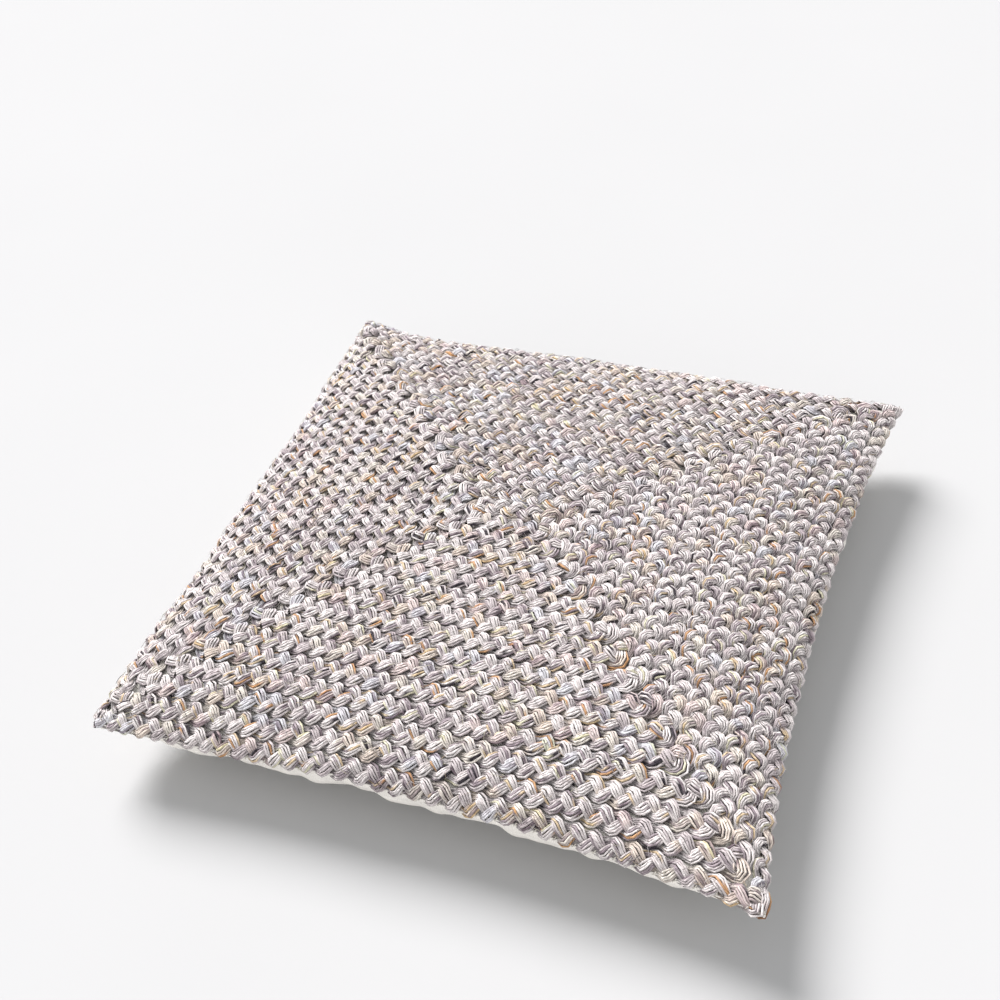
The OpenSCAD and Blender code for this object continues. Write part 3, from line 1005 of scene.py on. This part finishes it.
def back_grid(patch):
    """Points of the back panel, with whole grid lines along all four edges of the slot."""
    low, high = zip_share(patch, -SLOT_HEIGHT / 2), zip_share(patch, SLOT_HEIGHT / 2)
    end = SLOT_LENGTH / 2 / (HALF - SIDE_PULL * (1 - (0.5 * low + 0.5 * high) ** 2))
    even = np.sin(np.linspace(-math.pi / 2, math.pi / 2, 241))
    v = np.concatenate([even[even < low - 0.004], np.linspace(low, high, 8),
                        np.sin(np.linspace(math.asin(high), math.pi / 2, 6)[1:])])
    inside = np.linspace(-end, end, 150)
    u = np.sort(np.concatenate([even[np.abs(even) > end + 0.003], inside]))
    uu, vv = np.meshgrid(u, v, indexing="ij")
    middle_u = (u[:-1] + u[1:]) / 2
    middle_v = (v[:-1] + v[1:]) / 2
    hole = ((np.abs(middle_u) < end)[:, None] & ((middle_v > low) & (middle_v < high))[None])
    return uu, vv, ~hole, np.flatnonzero(np.abs(u) <= end + 1e-9), np.flatnonzero(
        (v >= low - 1e-9) & (v <= high + 1e-9))


def gathers(u, v):
    """Small folds that run in from the seam, where the back is sewn to the firmer braid."""
    edge = np.maximum(np.abs(u), np.abs(v))
    along = np.where(np.abs(u) > np.abs(v), v, u)
    side = np.where(np.abs(u) > np.abs(v), np.sign(u) * 2, np.sign(v) * 5)
    folds = (np.sin(17 * along + side) + 0.7 * np.sin(31 * along - 2 * side)
             + 0.5 * np.sin(53 * along + 3 * side) + 0.3 * np.sin(83 * along + side))
    reach = smooth((edge - 0.72) / 0.16) * (1 - smooth((edge - 0.985) / 0.015))
    zip_calm = 1 - smooth((0.78 - np.abs(u)) / 0.1) * (v > 0.7)
    return 1.15 * folds * reach * zip_calm


def make_back(patch, material):
    uu, vv, keep, slot_u, slot_v = back_grid(patch)
    outer, normal = patch.at(uu, vv)
    outer = outer + normal * gathers(uu, vv)[..., None]
    outer[..., 2] = np.maximum(outer[..., 2], 0.0)
    inner = outer - normal * 1.0
    flat = np.stack([uu * HALF, vv * HALF * 1.1], -1)
    cloth = Cloth()
    cloth.add(outer, flat, (0.0, 0.0, 1.0, 0.84), keep, flip=True)
    cloth.add(inner, flat, (0.0, 0.86, 0.7, 1.0), keep)
    cloth.add(strip(rim_of(outer), rim_of(inner)), strip(rim_of(flat), rim_of(flat) + 1.0),
              (0.72, 0.86, 0.8, 1.0))
    ring = [np.ix_(slot_u, slot_v[[0]]), np.ix_(slot_u[[-1]], slot_v), np.ix_(
        slot_u[::-1], slot_v[[-1]]), np.ix_(slot_u[[0]], slot_v[::-1])]
    border = np.concatenate([outer[r].reshape(-1, 3)[:-1] for r in ring])
    facing = np.concatenate([normal[r].reshape(-1, 3)[:-1] for r in ring])
    numbers = np.arange(uu.size).reshape(uu.shape)
    front_numbers = np.concatenate([numbers[r].ravel()[:-1] for r in ring])
    front_numbers = np.append(front_numbers, front_numbers[0])
    border = np.concatenate([border, border[:1]])
    facing = np.concatenate([facing, facing[:1]])
    hem, hem_flat = rolled_hem(border, facing)
    cloth.wall(front_numbers, front_numbers + uu.size, (0.80, 0.86, 0.82, 1.0))
    cloth.add(hem, hem_flat, (0.82, 0.86, 1.0, 1.0))
    obj = cloth.build("back_panel_cloth")
    finish_piece(obj, material, stands_for=["back_panel"])
    return border, facing


def rolled_hem(border, facing, radius=0.95):
    """The folded edge round the slot, as a soft roll of cloth."""
    ahead = unit(np.gradient(border, axis=0))
    away = unit(np.cross(facing, ahead))
    angle = np.linspace(0, 2 * math.pi, 11)
    grid = (border - facing * 0.5)[:, None] + radius * (
        np.cos(angle)[None, :, None] * away[:, None] + np.sin(angle)[None, :, None]
        * facing[:, None])
    run = np.concatenate([[0], np.cumsum(np.linalg.norm(np.diff(border, axis=0), axis=1))])
    flat = np.stack(np.broadcast_arrays(run[:, None], angle[None] * radius), -1)
    return grid, flat


def make_hem_stitches(border, facing, material):
    """A line of machine stitches along the folded edge of the slot, 2.6 mm from the fold."""
    tubes = Tubes(5)
    ahead = unit(np.gradient(border, axis=0))
    away = unit(np.cross(ahead, facing))
    line = border + away * 2.6 + facing * 0.08
    run = np.concatenate([[0], np.cumsum(np.linalg.norm(np.diff(line, axis=0), axis=1))])
    steps = np.linspace(0, 1, 6)
    count = round(run[-1] / 3.2)
    for n in range(count):
        at = (n + 0.12 + steps * 0.76) * run[-1] / count
        path = np.stack([np.interp(at, run, line[:, i]) for i in range(3)], 1)
        out = np.stack([np.interp(at, run, facing[:, i]) for i in range(3)], 1)
        path = path + out * (0.34 * np.sin(math.pi * steps) - 0.12)[:, None]
        thread_run(tubes, path, out, 0.26)
    obj = tubes.build("zip_hem_stitches", 0.6, 1.6)
    return finish_piece(obj, material)


def make_tape(up, material):
    sign = 1 if up else -1
    x = np.linspace(-ZIP_LENGTH / 2 - 12, ZIP_LENGTH / 2 + 12, 160)
    w = np.linspace(COIL_GAP, COIL_GAP + TAPE_W, 9)
    xx, ww = np.meshgrid(x, w, indexing="ij")
    wave = 0.05 * np.sin(xx * 0.21 + sign) * (ww - COIL_GAP) / TAPE_W
    front = on_zip(xx, TAPE_T - 0.05 + wave, sign * ww)
    behind = on_zip(xx, 0.05 + wave, sign * ww)
    flat = np.stack([xx, ww], -1)
    cloth = Cloth()
    cloth.add(front, flat, (0.0, 0.0, 1.0, 0.48), flip=up)
    cloth.add(behind, flat, (0.0, 0.5, 1.0, 0.9), flip=not up)
    cloth.add(strip(rim_of(front), rim_of(behind)), strip(rim_of(flat), rim_of(flat) + 0.6),
              (0.0, 0.92, 1.0, 1.0), flip=up)
    node = "zip_tape_upper" if up else "zip_tape_lower"
    obj = cloth.build(node + "_woven")
    finish_piece(obj, material, stands_for=[node])


def make_coil(up, material):
    """The coil: one nylon thread in flat turns, each with a head that faces the other row."""
    sign = 1 if up else -1
    pitch, per_turn = 1.5, 10
    turns = round(ZIP_LENGTH / pitch)
    turn = np.linspace(0, turns, turns * per_turn + 1)
    angle = 2 * math.pi * turn
    flatten = np.sign(np.cos(angle)) * np.abs(np.cos(angle)) ** 0.6
    x = -ZIP_LENGTH / 2 + turn * pitch + 0.18 * np.sin(angle)
    path = on_zip(x, TAPE_T + 0.9 + 0.56 * np.sin(angle), sign * (COIL_GAP + 0.98 - 0.62 * flatten))
    ahead = unit(np.gradient(path, axis=0))
    side_way = unit(np.cross(ahead, np.array([1.0, 0, 0])))
    size = np.full((len(path), 1), 0.33)
    tubes = Tubes(5)
    tubes.add(tube_grid(path, side_way, np.cross(ahead, side_way), size, size, 5), turn * 4)
    node = "zip_coil_upper" if up else "zip_coil_lower"
    obj = tubes.build(node + "_turns", 0.5, 2.0)
    finish_piece(obj, material, stands_for=[node])


def bevelled(node, material, body, width_m):
    """The part's own metal piece, with its edges broken and its faces smooth."""
    source = bpy.data.objects[node]
    obj = bpy.data.objects.new(node + "_cast", source.data.copy())
    bpy.context.scene.collection.objects.link(obj)
    obj.matrix_world = source.matrix_world
    joined = obj.modifiers.new("joined", "WELD")
    joined.merge_threshold = 0.00001
    bevel = obj.modifiers.new("bevel", "BEVEL")
    bevel.width = width_m
    bevel.segments = 3
    bevel.limit_method = "ANGLE"
    bevel.angle_limit = math.radians(35)
    bevel.use_clamp_overlap = True
    shaped = bpy.data.meshes.new_from_object(obj.evaluated_get(
        bpy.context.evaluated_depsgraph_get()))
    obj.modifiers.clear()
    obj.data = shaped
    for polygon in shaped.polygons:
        polygon.use_smooth = True
    shaped.set_sharp_from_angle(angle=math.radians(50))
    return finish_piece(obj, material, body, [node])


# ---- label ----

def make_label(material):
    """A blank satin ribbon folded in half: the fold hangs down, both ends are in the seam."""
    turn = math.radians(4.6)
    along = np.array([math.cos(turn), math.sin(turn), 0.0])
    out = np.array([-math.sin(turn), math.cos(turn), 0.0])
    corner = np.array([155.0, 236.4, 46.8])
    length = 32.0
    run = np.linspace(0, 1, 61)
    drop = np.where(run < 0.5, run, 1 - run) * 2 * (length - 0.6)
    round_fold = np.clip(1 - (length - 0.6 - drop) / 1.2, 0, 1)
    apart = 0.62 + 0.30 * round_fold
    side = np.where(run < 0.5, 1.0, -1.0) * apart * np.sqrt(np.maximum(0, 1 - round_fold ** 2)) / 2
    side = side * np.minimum(1, 0.35 + drop / 10)
    width = np.linspace(0, 20, 15)
    dd, ww = np.meshgrid(drop, width, indexing="ij")
    ss = np.broadcast_to(side[:, None], dd.shape)
    hang = dd / length
    curl = (3.4 * hang ** 1.8 * (1 + 0.35 * np.sin(ww / 20 * math.pi))
            + 1.6 * hang * (ww / 20 - 0.5) + 0.3 * np.sin(dd / 7 + ww / 6) * hang)
    grid = (corner + along * ww[..., None] + out * (0.9 + ss + curl)[..., None]
            - np.array([0, 0, 1.0]) * dd[..., None])
    flat = np.stack([ww, np.broadcast_to((run * 2 * length)[:, None], ww.shape)], -1)
    normal = grid_normals(grid)
    thick = 0.14
    outer, inner = grid + normal * thick / 2, grid - normal * thick / 2
    cloth = Cloth()
    cloth.add(outer, flat, (0, 0, 1, 0.45))
    cloth.add(inner, flat, (0, 0.47, 1, 0.92), flip=True)
    cloth.add(strip(rim_of(outer), rim_of(inner)), strip(rim_of(flat), rim_of(flat) + 0.1),
              (0, 0.94, 1, 1))
    obj = cloth.build("care_label_ribbon")
    finish_piece(obj, material, stands_for=["care_label"])


# ---- inside ----

def make_inside(upper, lower, lining, shell, fibre):
    steps = 60
    grid, flat = layer_grid(upper, steps, 4.6, -1)
    front = cloth_layer("front_lining_cloth", grid, 0.9, flat, lining,
                        "front_lining")
    grid, flat = layer_grid(upper, steps, 7.4, -1)
    front = cloth_layer("insert_front_cloth", grid, 0.9, flat, shell,
                        "insert_shell_front")
    grid, flat = layer_grid(lower, steps, 7.4, 1)
    grid[..., 2] -= 5.0 * (1 - np.maximum(np.abs(flat[..., 0]), np.abs(flat[..., 1])) / HALF)
    back = cloth_layer("insert_back_cloth", grid, 0.9, flat, shell,
                       "insert_shell_back", upwards=False)
    top, flat = layer_grid(upper, steps, 11.0, -1, 0.99)
    under, _ = layer_grid(lower, steps, 11.0, 1, 0.99)
    filling = Cloth()
    filling.add(top, flat, (0, 0, 1, 0.44))
    filling.add(under, flat, (0, 0.46, 1, 0.9), flip=True)
    filling.add(strip(rim_of(top), rim_of(under)), strip(rim_of(flat), rim_of(flat) + 30),
                (0, 0.92, 1, 1))
    obj = filling.build("insert_fibre")
    finish_piece(obj, fibre, stands_for=["insert_fill"])


# ---- build ----

make_camera()
make_studio()
upper, lower = simulate_body()
cover = Cover(upper)
yarn = yarn_material()
for k in range(1, ROUNDS + 1):
    make_round(k, cover, yarn)
make_fuzz(cover, yarn)
thread = thread_material("cotton_thread", (0.74, 0.70, 0.62))
make_joining_thread(cover, thread_material("joining_thread", (0.55, 0.50, 0.47)))
stitches("edge_seam_stitches", lower, 0.3, 7.0, 3.0, 5.0, 0.42, thread,
         stands_for=["edge_seam_thread"])
cotton = woven_material("cotton_back", (0.92, 0.88, 0.82), 0.7)
border, facing = make_back(lower, cotton)
make_hem_stitches(border, facing, thread)
make_inside(upper, lower, woven_material("cotton_lining", (0.78, 0.75, 0.69), 0.5),
            woven_material("insert_cotton", (0.86, 0.84, 0.80), 0.4), fibre_material())
tape = woven_material("zip_tape", (0.72, 0.66, 0.57), 0.45)
nylon = nylon_material()
for up in (True, False):
    make_tape(up, tape)
    make_coil(up, nylon)
enamel = enamel_material()
bevelled("zip_top_stops", enamel, "pillow", 0.0003)
bevelled("zip_bottom_stop", enamel, "pillow", 0.0003)
bevelled("zip_slider", enamel, "slider", 0.00025)
bevelled("zip_pull", enamel, "pull", 0.00025)
make_label(satin_material())
insert_seam = Patch(layer_grid(upper, 60, 6.8, -1)[0])
stitches("insert_seam_stitches", insert_seam, 0.2, 9.0, 5.0, 0.6, 0.4, thread,
         out=0.3, stands_for=["insert_seam_thread"])
